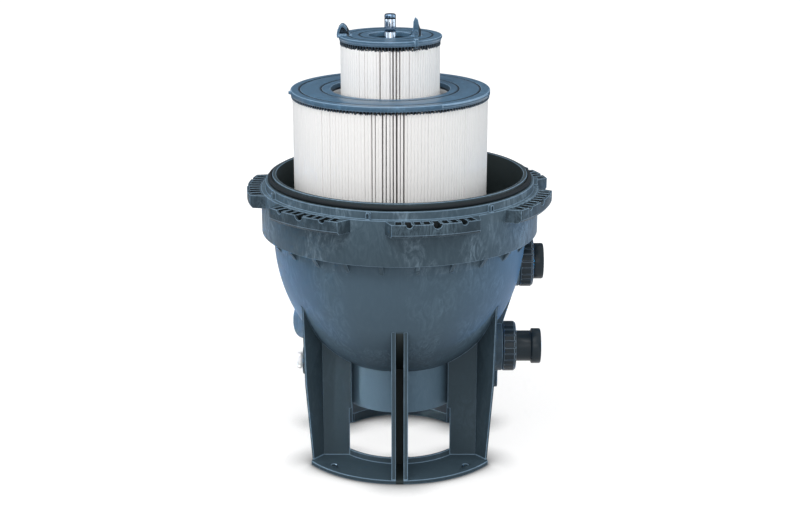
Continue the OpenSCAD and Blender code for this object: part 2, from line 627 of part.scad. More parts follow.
// Folded media: a closed zigzag sheet, drawn between two star outlines and slit into equal sectors
media_slit = 0.2;
function star(n, r_tip, r_valley) = [for (i = [0:2 * n - 1])
    let (a = 180 * i / n, r = i % 2 == 0 ? r_tip : r_valley) [r * cos(a), r * sin(a)]];
module pleats(n, r_tip, r_in, fold, h, sectors) linear_extrude(h) difference() {
    polygon(star(n, r_tip, r_in + fold));
    polygon(star(n, r_tip - fold, r_in));
    for (i = [0:sectors - 1]) rotate(i * 360 / sectors) translate([0, -media_slit / 2]) square([r_tip + 1, media_slit]);
}
module core(r, h, columns, rows) difference() {
    ring(r, r + core_t, h);
    for (j = [0:rows - 1]) for (i = [0:columns / 2 - 1]) rotate([0, 0, 360 * i / columns])
        translate([-r - core_t - eps, -PI * r / columns * 0.7, (j + 0.15) * h / rows])
            cube([2 * (r + core_t + eps), 2 * PI * r / columns * 0.7, 0.7 * h / rows]);
}
outer_top = seat_z + outer_h;
inner_top = seat_z + inner_h;
media_in = cap_t + cap_rim_h;    // depth of the media's ends below the caps' outer faces
media_fold = 12;
rim_w = 8;                       // width of the rim under a cap's edge
tooth_share = 0.22;              // half width of a comb tooth, as a share of the pleats' pitch

module outer_top_cap() color("#3f5468") at_module() translate([0, 0, outer_top]) {
    end_cap(outer_r, outer_hole_r, outer_pleats, outer_comb, 0);
    rotate([0, 0, -172]) translate([outer_r - 2, 0, -cap_t]) cylinder(r = 7, h = cap_t - 1.5, $fn = 32);
    rotate([0, 0, -38]) sector(44) translate([outer_r - rim_w, -cap_t + 1.2]) square([rim_w + 1.8, cap_t - 3]);
}
module outer_bottom_cap() color("#3f5468") at_module() translate([0, 0, seat_z]) mirror([0, 0, 1]) {
    end_cap(outer_r, outer_hole_r, outer_pleats, outer_comb, 0);
    spigot(outer_spigot_r);
}
module outer_pleat_pack() color("#f0f0f0") at_module() translate([0, 0, seat_z + media_in])
    pleats(outer_pleats, outer_r - pleat_inset, outer_hole_r + 3.4, media_fold, outer_h - 2 * media_in, 20);
module outer_core() color("#e4e6e8") at_module() translate([0, 0, seat_z + cap_t + outer_comb])
    core(outer_hole_r + 0.2, outer_h - 2 * (cap_t + outer_comb), 16, 5);
module inner_top_cap() color("#3f5468") at_module() translate([0, 0, inner_top]) {
    end_cap(inner_r, inner_hole_r, inner_pleats, inner_comb, 2);
    finger_tab();
    locking_fin();
}
module inner_bottom_cap() color("#3f5468") at_module() translate([0, 0, seat_z]) mirror([0, 0, 1]) {
    end_cap(inner_r, inner_hole_r, inner_pleats, inner_comb, 2);
    spigot(inner_spigot_r);
}
module inner_pleat_pack() color("#f4f4f4") at_module() translate([0, 0, seat_z + media_in])
    pleats(inner_pleats, inner_r - pleat_inset, inner_hole_r + 3.4, media_fold, inner_h - 2 * media_in, 16);
module inner_core() color("#e4e6e8") at_module() translate([0, 0, seat_z + cap_t + inner_comb])
    core(inner_hole_r + 0.2, inner_h - 2 * (cap_t + inner_comb), 12, 6);

// Hollow finger tab on the rim at the left, and the upright fin beside the opening, whose foot
// runs out to the rim and down over it
tab_w = 26;
module finger_tab() rotate([0, 0, 180]) translate([inner_r, tab_w / 2, 0]) rotate([90, 0, 0])
    linear_extrude(tab_w) difference() {
        polygon([[-30, -eps], [-25, 7], [-18, 19], [-12, 24], [-7, 23.5], [-2, 18], [2, 9], [3, 2],
            [2.5, 3 - cap_t], [-2, 2 - cap_t], [-6, -2]]);
        polygon([[-22, 3], [-16, 14], [-11, 18.5], [-7.5, 17], [-3.5, 9], [-2.5, 3]]);
    }
fin_x = 57;
fin_y = 17;
fin_t = 8;
strap_w = 8;
strap_h = 6;
module locking_fin() {
    edge_y = sqrt(pow(inner_r - 3, 2) - pow(fin_x, 2));
    translate([fin_x, fin_t / 2 - fin_y, -eps]) rotate([90, 0, 0]) linear_extrude(fin_t) difference() {
        polygon([[-14, 0], [-7, 14], [-6, 31], [-2, 41], [4, 36], [7, 22], [12, 10], [13, 0]]);
        polygon([[-6, 4], [-1, 14], [2, 14], [5, 4]]);
    }
    translate([fin_x - strap_w / 2, -edge_y, -eps]) cube([strap_w, edge_y - fin_y, strap_h]);
    rotate([0, 0, -acos(fin_x / inner_r)]) translate([inner_r - 5, -strap_w / 2, -cap_t - cap_rim_h - 4])
        cube([8, strap_w, cap_t + cap_rim_h + 4 + strap_h - eps]);
}

tank_bowl();
tank_belt();
tank_rim();
clamp_lugs();
front_foot();
rear_foot();
tank_oring();
manifold();
outer_seat_gasket();
inner_seat_gasket();
outlet_elbow();
inlet_diffuser();
lower_neck();
lower_union_oring();
lower_tailpiece();
lower_union_nut();
upper_neck();
upper_union_oring();
upper_tailpiece();
upper_union_nut();
drain_bushing();
drain_oring();
drain_plug();
air_bleed_tube();
tube_oring();
tube_plug();
outer_top_cap();
outer_bottom_cap();
outer_pleat_pack();
outer_core();
inner_top_cap();
inner_bottom_cap();
inner_pleat_pack();
inner_core();
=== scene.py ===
import math
import random

import bpy
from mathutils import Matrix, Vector


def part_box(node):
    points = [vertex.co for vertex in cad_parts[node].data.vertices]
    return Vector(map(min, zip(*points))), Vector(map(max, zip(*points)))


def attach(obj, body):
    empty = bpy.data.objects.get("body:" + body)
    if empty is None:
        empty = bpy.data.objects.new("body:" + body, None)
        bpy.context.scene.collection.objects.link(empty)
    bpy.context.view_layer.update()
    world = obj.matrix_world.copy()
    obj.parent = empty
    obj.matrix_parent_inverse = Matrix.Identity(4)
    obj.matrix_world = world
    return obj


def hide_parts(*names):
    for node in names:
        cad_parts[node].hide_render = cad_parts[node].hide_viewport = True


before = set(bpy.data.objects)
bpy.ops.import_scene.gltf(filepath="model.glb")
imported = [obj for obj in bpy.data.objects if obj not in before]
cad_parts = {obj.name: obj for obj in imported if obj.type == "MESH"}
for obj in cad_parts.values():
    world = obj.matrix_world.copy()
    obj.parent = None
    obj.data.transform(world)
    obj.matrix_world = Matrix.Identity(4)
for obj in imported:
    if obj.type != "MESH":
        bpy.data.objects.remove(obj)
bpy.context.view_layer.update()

# Camera: a long lens, a little above the rim and tipped down, straight in front of the front foot.
# The photo is framed a little low, which the lens shift repeats.
camera_data = bpy.data.cameras.new("camera")
camera_data.sensor_width = 36.0
camera_data.lens = 67.88
camera_data.shift_x = 0.0004
camera_data.shift_y = 0.0416
tipped_down = 0.316
camera = bpy.data.objects.new("camera", camera_data)
camera.location = (0.0, -3.3448, 1.4761)
camera.rotation_euler = (math.pi / 2 - tipped_down, 0.0, 0.0)
bpy.context.scene.collection.objects.link(camera)
bpy.context.scene.camera = camera
bpy.context.scene.view_settings.view_transform = "Standard"

# Floor and backdrop: one white sheet. The eye, metal and glass see it as pure white, with the
# object's own shadow and a painted contact shadow where a piece stands close to it.
bpy.ops.object.select_all(action="DESELECT")
bpy.ops.mesh.primitive_plane_add(size=60.0, location=(0.0, 0.0, -0.0005))
floor = bpy.context.object
floor.name = "floor"


# The sheet's material, as all that follow, is written as plain expressions. A Wire is one output
# socket of a node, and sums, products and powers of wires add the Math nodes that they need.
def plug(tree, value, socket):
    if isinstance(value, Wire):
        tree.links.new(value.socket, socket)
    else:
        socket.default_value = value


class Wire:
    def __init__(self, tree, socket):
        self.tree, self.socket = tree, socket

    def maths(self, operation, *values):
        node = self.tree.nodes.new("ShaderNodeMath")
        node.operation = operation
        for value, socket in zip(values, node.inputs):
            plug(self.tree, value, socket)
        return Wire(self.tree, node.outputs[0])

    def __add__(self, other):
        return self.maths("ADD", self, other)

    def __sub__(self, other):
        return self.maths("SUBTRACT", self, other)

    def __rsub__(self, other):
        return self.maths("SUBTRACT", other, self)

    def __mul__(self, other):
        return self.maths("MULTIPLY", self, other)

    def __pow__(self, other):
        return self.maths("POWER", self, other)

    __radd__ = __add__

    def between(self, low, high):
        node = self.tree.nodes.new("ShaderNodeMapRange")
        for value, socket in zip((self, low, high, 0.0, 1.0), node.inputs):
            plug(self.tree, value, socket)
        return Wire(self.tree, node.outputs[0])


class Finish:
    """One material: constants go on its shader, and what varies comes in through feed()."""

    def __init__(self, name, colour, **constants):
        self.material = bpy.data.materials.new(name)
        self.material.use_nodes = True
        self.tree = self.material.node_tree
        self.shader = self.tree.nodes["Principled BSDF"]
        self.shader.inputs["Base Color"].default_value = (*colour, 1.0)
        self.material.diffuse_color = (*colour, 1.0)
        for socket, value in constants.items():
            self.shader.inputs[socket.replace("_", " ")].default_value = value

    def node(self, kind, settings=(), links=(), out=0):
        made = self.tree.nodes.new(kind)
        for key, value in dict(settings).items():
            setattr(made, key, value)
        for key, value in dict(links).items():
            plug(self.tree, value, made.inputs[key])
        return Wire(self.tree, made.outputs[out])

    def place(self, scale=(1.0, 1.0, 1.0), centre=(0.0, 0.0, 0.0)):
        spot = self.node("ShaderNodeTexCoord", out="Object")
        spot = self.node("ShaderNodeMapping", {"vector_type": "TEXTURE"},
                         {"Vector": spot, "Location": centre})
        return self.node("ShaderNodeMapping", {"vector_type": "POINT"}, {"Vector": spot, "Scale": scale})

    def noise(self, spot, size, detail=3.0, rough=0.5, bend=0.0):
        return self.node("ShaderNodeTexNoise", {},
                         {"Vector": spot, "Scale": 1.0 / size, "Detail": detail, "Roughness": rough,
                          "Distortion": bend})

    def blend(self, factor, low, high):
        mix = self.tree.nodes.new("ShaderNodeMix")
        mix.data_type = "RGBA"
        plug(self.tree, factor, mix.inputs[0])
        for socket, colour in ((mix.inputs[6], low), (mix.inputs[7], high)):
            plug(self.tree, colour if isinstance(colour, Wire) else (*colour, 1.0), socket)
        return Wire(self.tree, mix.outputs[2])

    def feed(self, socket, value):
        plug(self.tree, value, self.shader.inputs[socket])
        return self

    def bump(self, height, depth, strength=1.0):
        self.feed("Normal", self.node("ShaderNodeBump", {},
                                      {"Height": height, "Distance": depth, "Strength": strength}))
        return self


contact_shadow_reach, contact_shadow_power = 0.09, 4.0
shadow_end, white_start = 0.6, 1.4
sheet = Finish("floor_sheet", (0.5, 0.5, 0.5), Roughness=0.9, Specular_IOR_Level=0.0, Emission_Strength=1.0)
seen = sheet.node("ShaderNodeLightPath", out="Is Camera Ray")
seen = seen + sheet.node("ShaderNodeLightPath", out="Is Glossy Ray")
seen = seen + sheet.node("ShaderNodeLightPath", out="Is Transmission Ray")
clear = sheet.node("ShaderNodeAmbientOcclusion", {"samples": 16}, {"Distance": contact_shadow_reach}, out=1)
away = sheet.node("ShaderNodeVectorMath", {"operation": "LENGTH"}, {"Vector": sheet.place()}, out=1)
glow = sheet.blend(away.between(shadow_end, white_start), (0.84, 0.84, 0.84), (1.0, 1.0, 1.0))
# Painted contact shadow: ambient occlusion darkens the sheet's glow where a piece stands close to it.
sheet.feed("Emission Color", sheet.blend(seen * clear ** contact_shadow_power, (0.0, 0.0, 0.0), glow))
sheet.feed("Base Color", sheet.blend(seen, (0.5, 0.5, 0.5), (0.22, 0.22, 0.22)))
floor.data.materials.append(sheet.material)

# Light: an even pale room with wide soft boxes above, in front, behind and at both sides. A narrow
# blue one low at each side grazes the bowl's flanks, and a faint one lights the drain plug.
world = bpy.data.worlds.new("studio")
world.use_nodes = True
bpy.context.scene.world = world
room_light = 0.5
air = world.node_tree
background = air.nodes["Background"]
background.inputs["Color"].default_value = (1.0, 1.0, 1.0, 1.0)
path = air.nodes.new("ShaderNodeLightPath")
ray = Wire(air, path.outputs["Is Camera Ray"]) + Wire(air, path.outputs["Is Glossy Ray"])
ray = ray + Wire(air, path.outputs["Is Transmission Ray"])
plug(air, ray * (1.0 - room_light) + room_light, background.inputs["Strength"])


def soft_box(name, place, aim, size, power, colour=(1.0, 1.0, 1.0), spread=180.0):
    lamp = bpy.data.lights.new(name, "AREA")
    lamp.shape, lamp.size, lamp.size_y = "RECTANGLE", size[0], size[1]
    lamp.energy, lamp.color, lamp.spread = power, colour, math.radians(spread)
    box = bpy.data.objects.new(name, lamp)
    box.location = place
    box.rotation_euler = (Vector(aim) - Vector(place)).to_track_quat("-Z", "Y").to_euler()
    bpy.context.scene.collection.objects.link(box)


soft_box("box_above", (-0.5, -1.3, 3.2), (0.0, 0.0, 0.6), (2.4, 2.0), 72.0)
soft_box("box_front", (0.3, -4.2, 1.9), (0.0, 0.0, 0.7), (2.4, 1.6), 24.0)
soft_box("box_back", (0.2, 3.6, 1.6), (0.0, 0.0, 0.5), (2.4, 1.6), 16.0)
soft_box("box_drain", (-2.4, -1.5, 0.4), (-0.27, 0.0, 0.205), (0.3, 0.3), 0.45, spread=10.0)
cool, blue = (0.78, 0.9, 1.0), (0.02, 0.4, 1.0)
for side, power in ((-1.0, 12.0), (1.0, 17.0)):
    soft_box("box_side", (side * 2.6, -0.3, 1.2), (0.0, 0.0, 0.6), (1.0, 2.0), power, cool)
    soft_box("box_blue", (side * 2.2, 0.8, 0.05), (0.0, 0.0, 0.3), (0.4, 0.4), 1.1, blue, 16.0)


# Dark cards round the set, which only mirror-like surfaces see. They give the steel tube its
# bands and keep the white room off the flat tops of the caps.
def card(name, azimuth, distance, width, low, high, colour):
    bpy.ops.object.select_all(action="DESELECT")
    turn = math.radians(azimuth)
    spot = (distance * math.sin(turn), -distance * math.cos(turn), (low + high) / 2)
    bpy.ops.mesh.primitive_plane_add(size=1.0, location=spot, rotation=(math.pi / 2, 0.0, turn))
    sheet_card = bpy.context.object
    sheet_card.name = name
    sheet_card.scale = (width, high - low, 1.0)
    bpy.ops.object.transform_apply(location=True, rotation=True, scale=True)
    paint = Finish(name, colour, Roughness=1.0, Specular_IOR_Level=0.0)
    sheet_card.data.materials.append(paint.material)
    for view in ("visible_camera", "visible_diffuse", "visible_transmission", "visible_shadow"):
        setattr(sheet_card, view, False)


black = (0.01, 0.012, 0.015)
card("card_left", -14.0, 1.2, 0.42, 0.35, 1.1, black)
card("card_right", 46.0, 1.2, 0.24, 0.35, 1.1, black)
card("card_side", -75.0, 1.2, 1.7, 0.35, 1.1, (0.2, 0.28, 0.38))
card("card_behind", 180.0, 2.6, 7.0, -0.5, 4.0, (0.1, 0.14, 0.2))


# Tank base: one moulding of filled polypropylene, dark slate with cloudy flow marks where the
# melt ran, and a fine orange-peel skin. Its sharp moulded edges are broken by small rounds, but
# not at the two heights where nodes of this one moulding meet. The rounds take a paler copy of
# the plastic, a painted highlight.
SEAMS = (0.392, 0.505)
SLATE = (0.072, 0.118, 0.16)
# The near black and the black of painted shade in the tank's hollows.
NEAR_BLACK, BLACK = (0.024, 0.034, 0.036), (0.006, 0.01, 0.012)

# The parts of the tank set apart, as soft steps between two measures: the band under the skirt,
# which has the bowl's tone, and the sump drum, given its own share of the dark colour. The mouth's
# wall, the lip's top, the channel between the front foot's blades and the pockets of the lugs take
# painted shade, and the foot of the bowl is darker with painted shade.
BAND_TOP, BAND_FOOT, BAND_REACH = (0.5315, 0.531), (0.5045, 0.505), (0.2905, 0.2895)
MOUTH_REACH, MOUTH_FOOT = (0.2836, 0.2828), (0.46, 0.5)
LIP_TOP, LIP_REACH = (0.6485, 0.649), (0.3, 0.2992)
CHANNEL_SIDE, CHANNEL_TOP = (0.0088, 0.0084), (0.37, 0.36)
CHANNEL_BACK, CHANNEL_FRONT = (-0.05, -0.06), (-0.257, -0.254)
LUGS, FIRST_LUG, POCKET_SHARE = 7, 1.9913, (0.295, 0.288)
POCKET_ROOT, POCKET_END = (0.317, 0.3176), (0.342, 0.3414)
POCKET_TOP, POCKET_FLOOR = (0.6326, 0.6316), (0.607, 0.609)
BOWL_FOOT, SUMP_TOP, SUMP_REACH = (0.37, 0.25), (0.228, 0.226), (0.137, 0.136)


def pick(piece):
    bpy.ops.object.select_all(action="DESELECT")
    piece.select_set(True)
    bpy.context.view_layer.objects.active = piece


def moulded(name, node, edge, body, finish, slot, highlight_finish=None):
    """A copy of a CAD node whose loose triangles are joined, with rounded edges and smooth faces.
    The rounds take the paler finish given last, a painted highlight. The seams between nodes of one moulding
    stay plain."""
    nearly_flat, facet, seam_width = 0.3, 35.0, 0.0003
    piece = bpy.data.objects.new(name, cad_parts[node].data.copy())
    bpy.context.scene.collection.objects.link(piece)
    pick(piece)
    bpy.ops.object.mode_set(mode="EDIT")
    bpy.ops.mesh.select_all(action="SELECT")
    bpy.ops.mesh.remove_doubles(threshold=0.0001)
    bpy.ops.mesh.dissolve_limited(angle_limit=math.radians(nearly_flat))
    bpy.ops.mesh.quads_convert_to_tris()
    bpy.ops.object.mode_set(mode="OBJECT")
    if piece.data.has_custom_normals:
        bpy.ops.mesh.customdata_custom_splitnormals_clear()
    piece.data.materials.clear()
    piece.data.materials.append(finish.material)
    piece.data.materials.append((highlight_finish or finish).material)
    if edge:
        bpy.ops.object.mode_set(mode="EDIT")
        bpy.ops.mesh.select_all(action="DESELECT")
        bpy.ops.mesh.select_mode(type="EDGE")
        bpy.ops.mesh.edges_select_sharp(sharpness=math.radians(facet))
        bpy.ops.object.mode_set(mode="OBJECT")
        for side in piece.data.edges:
            ends = [piece.data.vertices[index].co.z for index in side.vertices]
            if any(max(abs(end - seam) for end in ends) < seam_width for seam in SEAMS):
                side.select = False
        bpy.ops.object.mode_set(mode="EDIT")
        bpy.ops.mesh.bevel(offset=edge, segments=2, affect="EDGES", clamp_overlap=False, material=1)
        bpy.ops.object.mode_set(mode="OBJECT")
    bpy.ops.object.shade_smooth_by_angle(angle=math.radians(facet))
    return dress(piece, body, finish, slot, node)


def dress(piece, body, finish, slot, *nodes):
    if not piece.data.materials:
        piece.data.materials.append(finish.material)
    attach(piece, body)
    if nodes:
        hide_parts(*nodes)
    return piece


def moulding(name, dark, pale, streak, for_highlights=False, low=1.0, sump=1.0):
    """Filled plastic with flow marks as strong as streak. Hollows that no light reaches take painted
    shade, near black; on the paler copy for painted edge highlights the mouth's wall and the lip's top
    take none. The bowl's foot takes the share low of dark as painted shade, and the sump drum the share sump
    of dark."""
    bowl_streak = 0.45
    finish = Finish(name, dark, Roughness=0.5, Specular_IOR_Level=0.2)
    spot = finish.place()
    cloud = finish.noise(finish.place((1.0, 1.0, 0.6)), 0.12, 3.0, 0.55, 0.8).between(0.44, 0.62)
    curl = finish.noise(finish.place((1.0, 1.0, 0.4)), 0.026, 6.0, 0.7, 2.8).between(0.42, 0.7)
    grain = finish.noise(finish.place((1.0, 1.0, 0.35)), 0.004, 4.0, 0.75).between(0.3, 0.7)
    x, y, z = (finish.node("ShaderNodeSeparateXYZ", {}, {"Vector": spot}, axis) for axis in range(3))
    radius = (x * x + y * y) ** 0.5
    band = z.between(*BAND_TOP) * z.between(*BAND_FOOT) * radius.between(*BAND_REACH)
    flow = (cloud * 0.85 + 0.15) * curl * (grain * 0.7 + 0.3) * (streak - band * (streak - bowl_streak))
    mouth = radius.between(*MOUTH_REACH) * z.between(*MOUTH_FOOT)
    lip = z.between(*LIP_TOP) * radius.between(*LIP_REACH)
    channel = x.maths("ABSOLUTE", x).between(*CHANNEL_SIDE) * y.between(*CHANNEL_BACK)
    channel = channel * z.between(*CHANNEL_TOP) * y.between(*CHANNEL_FRONT)
    turn = y.maths("ARCTAN2", y, x) * (LUGS / (2 * math.pi)) + FIRST_LUG
    turn = turn.maths("FRACT", turn) - 0.5
    pocket = turn.maths("ABSOLUTE", turn).between(*POCKET_SHARE) * radius.between(*POCKET_ROOT)
    pocket = pocket * radius.between(*POCKET_END) * z.between(*POCKET_TOP) * z.between(*POCKET_FLOOR)
    # Painted shade: the channel and the lugs' pockets, and, off the highlight copy, the mouth's wall and the
    # lip's top.
    shade = channel.maths("MAXIMUM", channel, pocket)
    if not for_highlights:
        shade = shade.maths("MAXIMUM", shade, mouth.maths("MAXIMUM", mouth, lip * 0.8))
    colour = finish.blend(band, dark, SLATE)
    # Painted shade: the bowl darker towards its foot by the share low.
    colour = finish.blend(z.between(*BOWL_FOOT), colour, tuple(low * part for part in dark))
    drum = z.between(*SUMP_TOP) * radius.between(*SUMP_REACH)
    colour = finish.blend(drum, colour, tuple(sump * part for part in dark))
    colour = finish.blend(flow, colour, pale)
    # Painted shade: near black where shade is masked, black in the lugs' pockets.
    colour = finish.blend(pocket, finish.blend(shade, colour, NEAR_BLACK), BLACK)
    finish.feed("Base Color", colour)
    finish.feed("Roughness", 0.52 - flow * 0.12)
    skin = finish.noise(spot, 0.0016, 2.0, 0.5)
    finish.bump(skin + curl * cloud * 0.8, 0.00014, 0.5)
    return finish


tank_plastic = moulding("tank_plastic", SLATE, (0.2, 0.31, 0.41), 0.45, low=0.6, sump=1.7)
# The rounds' finish: a paler copy of the plastic, a painted highlight along the edges.
tank_edge_highlight = moulding("tank_edge_highlight", (0.14, 0.215, 0.29), (0.3, 0.43, 0.56), 1.0, True)
moulded("bowl", "tank_bowl", 0.0014, "tank", tank_plastic, "tank_plastic", tank_edge_highlight)
moulded("belt", "tank_belt", 0.0012, "tank", tank_plastic, "tank_plastic", tank_edge_highlight)
rim_plastic = moulding("rim_plastic", (0.052, 0.085, 0.112), (0.34, 0.47, 0.58), 0.7)
moulded("rim", "tank_rim", 0.0012, "tank", rim_plastic, "tank_plastic", tank_edge_highlight)
lug_plastic = moulding("lug_plastic", (0.025, 0.043, 0.058), (0.22, 0.33, 0.42), 0.6)
moulded("lugs", "clamp_lugs", 0.0008, "tank", lug_plastic, "tank_plastic", tank_edge_highlight)

# Feet: front and rear, in one piece with the tank. Their panels, fins and plates are given a
# darker colour than the bowl, with fainter flow marks.
foot_plastic = moulding("foot_plastic", (0.038, 0.062, 0.08), (0.075, 0.115, 0.15), 0.6)
moulded("foot_front", "front_foot", 0.0016, "tank", foot_plastic, "foot_plastic", tank_edge_highlight)
moulded("foot_rear", "rear_foot", 0.0016, "tank", foot_plastic, "foot_plastic", tank_edge_highlight)

# Lid seal: a round black ring of rubber that lies loose on the rim's shoulder against the lip,
# where the lid presses on it.
rubber = Finish("seal_rubber", (0.013, 0.017, 0.02), Roughness=0.65, Specular_IOR_Level=0.15)
rubber.bump(rubber.noise(rubber.place(), 0.0008), 0.00005)


def placed(name):
    """Bakes the place of the piece just made into its mesh, so that its origin is the frame's."""
    piece = bpy.context.object
    piece.name = name
    bpy.ops.object.transform_apply(location=True, rotation=True, scale=True)
    return piece


seal_low, seal_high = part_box("tank_oring")
seal_d = seal_high.z - seal_low.z
bpy.ops.object.select_all(action="DESELECT")
bpy.ops.mesh.primitive_torus_add(major_radius=seal_high.x - seal_d / 2, minor_radius=seal_d / 2,
                                 major_segments=240, minor_segments=20,
                                 location=(0.0, 0.0, seal_low.z + seal_d / 2))
lid_seal = placed("lid_seal")
bpy.ops.object.shade_smooth()
dress(lid_seal, "tank", rubber, "seal_rubber", "tank_oring")

# Inside the tank: the manifold box with its gaskets, the outlet elbow and the inlet baffle, all
# of matt black plastic that the modules hide once they stand on it.
inner_plastic = Finish("inner_plastic", (0.02, 0.025, 0.03), Roughness=0.5, Specular_IOR_Level=0.4)
inner_plastic.bump(inner_plastic.noise(inner_plastic.place(), 0.002), 0.0001, 0.4)
moulded("manifold_box", "manifold", 0.0008, "tank", inner_plastic, "inner_plastic")
moulded("outlet_pipe", "outlet_elbow", 0.0005, "tank", inner_plastic, "inner_plastic")
moulded("inlet_baffle", "inlet_diffuser", 0.0005, "tank", inner_plastic, "inner_plastic")
moulded("outer_gasket", "outer_seat_gasket", 0.0004, "tank", rubber, "seal_rubber")
moulded("inner_gasket", "inner_seat_gasket", 0.0004, "tank", rubber, "seal_rubber")

# Unions at the ports: black necks, seal rings, pipe tails with their collars and ribbed nuts, all
# of hard plastic. Each nut is screwed on by hand and draws its tail against the seal ring.
union_plastic = Finish("union_plastic", (0.018, 0.029, 0.038), Roughness=0.34, Specular_IOR_Level=0.2)
# The nuts' rounds take a paler finish, a painted highlight along their ribs and edges.
union_edge_highlight = Finish("union_edge_highlight", (0.1, 0.15, 0.2), Roughness=0.35, Specular_IOR_Level=0.4)
scuff = union_plastic.noise(union_plastic.place(), 0.012, 5.0, 0.65).between(0.4, 0.75)
union_plastic.feed("Roughness", 0.28 + scuff * 0.16)
union_plastic.bump(union_plastic.noise(union_plastic.place(), 0.0011), 0.00006, 0.6)
for port in ("lower", "upper"):
    moulded(port + "_port_neck", port + "_neck", 0.0004, "tank", union_plastic, "union_plastic")
    moulded(port + "_port_seal", port + "_union_oring", 0.0, "tank", rubber, "seal_rubber")
    moulded(port + "_pipe_tail", port + "_tailpiece", 0.0005, "tank", union_plastic, "union_plastic")
    moulded(port + "_ribbed_nut", port + "_union_nut", 0.0008, port + "_nut", union_plastic, "union_plastic",
            union_edge_highlight)

# Drain on the left side: a dark bushing screwed into the boss, a seal ring, and an off-white plug
# of plastic with a gripped head that is turned by hand.
moulded("drain_bush", "drain_bushing", 0.0006, "tank", union_plastic, "union_plastic")
moulded("drain_seal", "drain_oring", 0.0003, "tank", rubber, "seal_rubber")
plug_plastic = Finish("plug_plastic", (0.93, 0.92, 0.9), Roughness=0.4, Specular_IOR_Level=0.4)
plug_plastic.bump(plug_plastic.noise(plug_plastic.place(), 0.0009), 0.00004, 0.5)
moulded("drain_stopper", "drain_plug", 0.0005, "plug", plug_plastic, "plug_plastic")

# Air bleed tube: drawn steel that stands in the manifold's hub and rises through both modules. A
# dark ring and a domed steel plug sit at its upper end.
steel = Finish("tube_steel", (0.46, 0.54, 0.64), Metallic=1.0, Roughness=0.14)
drawn = steel.noise(steel.place((1.0, 1.0, 0.02)), 0.0009, 2.0, 0.6)
steel.feed("Roughness", 0.1 + drawn * 0.1)
steel.bump(drawn, 0.00003, 0.3)
moulded("bleed_tube", "air_bleed_tube", 0.0003, "tank", steel, "tube_steel")
moulded("bleed_seal", "tube_oring", 0.0004, "tank", rubber, "seal_rubber")
dark_steel = Finish("dark_steel", (0.16, 0.24, 0.34), Metallic=1.0, Roughness=0.22)
moulded("bleed_plug", "tube_plug", 0.0004, "tank", dark_steel, "tube_steel")

# Outer module: glossy blue-grey end caps with ring grooves, a white core and the pleated pack.
# Each cap has its radius, its hole's radius and the height of its rim's under side given here.
CAP_SIZES = {"outer": (0.223, 0.134, 0.8445), "inner": (0.115, 0.0486, 0.9635)}
GROOVE_EDGE, GROOVE_BED = 0.003, 0.0022


def capping(name, node, base, for_highlights):
    """Cap plastic: the ring grooves and the comb under the rim take near-black painted shade. The paler copy
    for painted highlights on the rounds has weaker comb shade and fainter mottle.
    """
    finish = Finish(name, base, Roughness=0.34, Specular_IOR_Level=0.3)
    low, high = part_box(node)
    spot = finish.place(centre=((low.x + high.x) / 2, 0.0, 0.0))
    x, y, z = (finish.node("ShaderNodeSeparateXYZ", {}, {"Vector": spot}, axis) for axis in range(3))
    radius = (x * x + y * y) ** 0.5
    reach, hole, rim = CAP_SIZES[node[:5]]
    comb_dark, mottled = (0.35, 0.25) if for_highlights else (1.0, 0.6)
    rings = [((radius - ring).maths("ABSOLUTE", radius - ring)).between(GROOVE_EDGE, GROOVE_BED)
             for ring in (reach - 0.021, hole + 0.02)]
    shade = rings[0].maths("MAXIMUM", rings[0], rings[1]) * z.between(rim + 0.004, rim + 0.006)
    comb = z.between(rim + 0.0005, rim - 0.0005) * comb_dark
    shade = shade.maths("MAXIMUM", shade, comb) * 0.92
    mottle = finish.noise(finish.place(), 0.02, 5.0, 0.7, 1.5).between(0.5, 0.78)
    colour = finish.blend(mottle * mottled, base, tuple(2.3 * part for part in base))
    # Painted shade: the ring grooves and the comb under the rim go near black.
    finish.feed("Base Color", finish.blend(shade, colour, (0.012, 0.018, 0.024)))
    finish.feed("Roughness", 0.32 + mottle * 0.15)
    finish.bump(finish.noise(finish.place(), 0.018, 3.0, 0.5, 0.6), 0.0004, 0.35)
    return finish


# The caps' rounds take a paler copy of the cap plastic, a painted highlight.
CAP_BLUE, CAP_HIGHLIGHT = (0.054, 0.112, 0.176), (0.2, 0.31, 0.43)
outer_finish = capping("outer_cap_plastic", "outer_top_cap", CAP_BLUE, False)
outer_highlight = capping("outer_cap_edge_highlight", "outer_top_cap", CAP_HIGHLIGHT, True)
moulded("outer_cap_top", "outer_top_cap", 0.001, "outer_module", outer_finish, "cap_plastic", outer_highlight)
moulded("outer_cap_bottom", "outer_bottom_cap", 0.0008, "outer_module", outer_finish, "cap_plastic", outer_highlight)
core_plastic = Finish("core_plastic", (0.74, 0.75, 0.76), Roughness=0.5)
moulded("outer_cage", "outer_core", 0.0003, "outer_module", core_plastic, "core_plastic")

# Pleat packs: white spun fabric, folded into close pleats and potted in the caps at both ends. The
# fabric takes painted shade, with an uneven edge, under the top caps, and a few folds at the front stand open.
fabric = Finish("filter_fabric", (0.93, 0.92, 0.91), Roughness=1.0, Specular_IOR_Level=0.05)
felt = fabric.noise(fabric.place((1.0, 1.0, 0.3)), 0.003, 4.0, 0.7)
x, y, z = (fabric.node("ShaderNodeSeparateXYZ", {}, {"Vector": fabric.place()}, axis) for axis in range(3))
shade_edge_jitter = 0.016
outer_end, outer_pack_only, inner_end = (0.8375, 0.8385), (0.029, 0.032), (0.9535, 0.9545)
uneven_height = z + (fabric.noise(fabric.place((1.0, 1.0, 0.0)), 0.006, 2.0, 0.6) - 0.5) * shade_edge_jitter
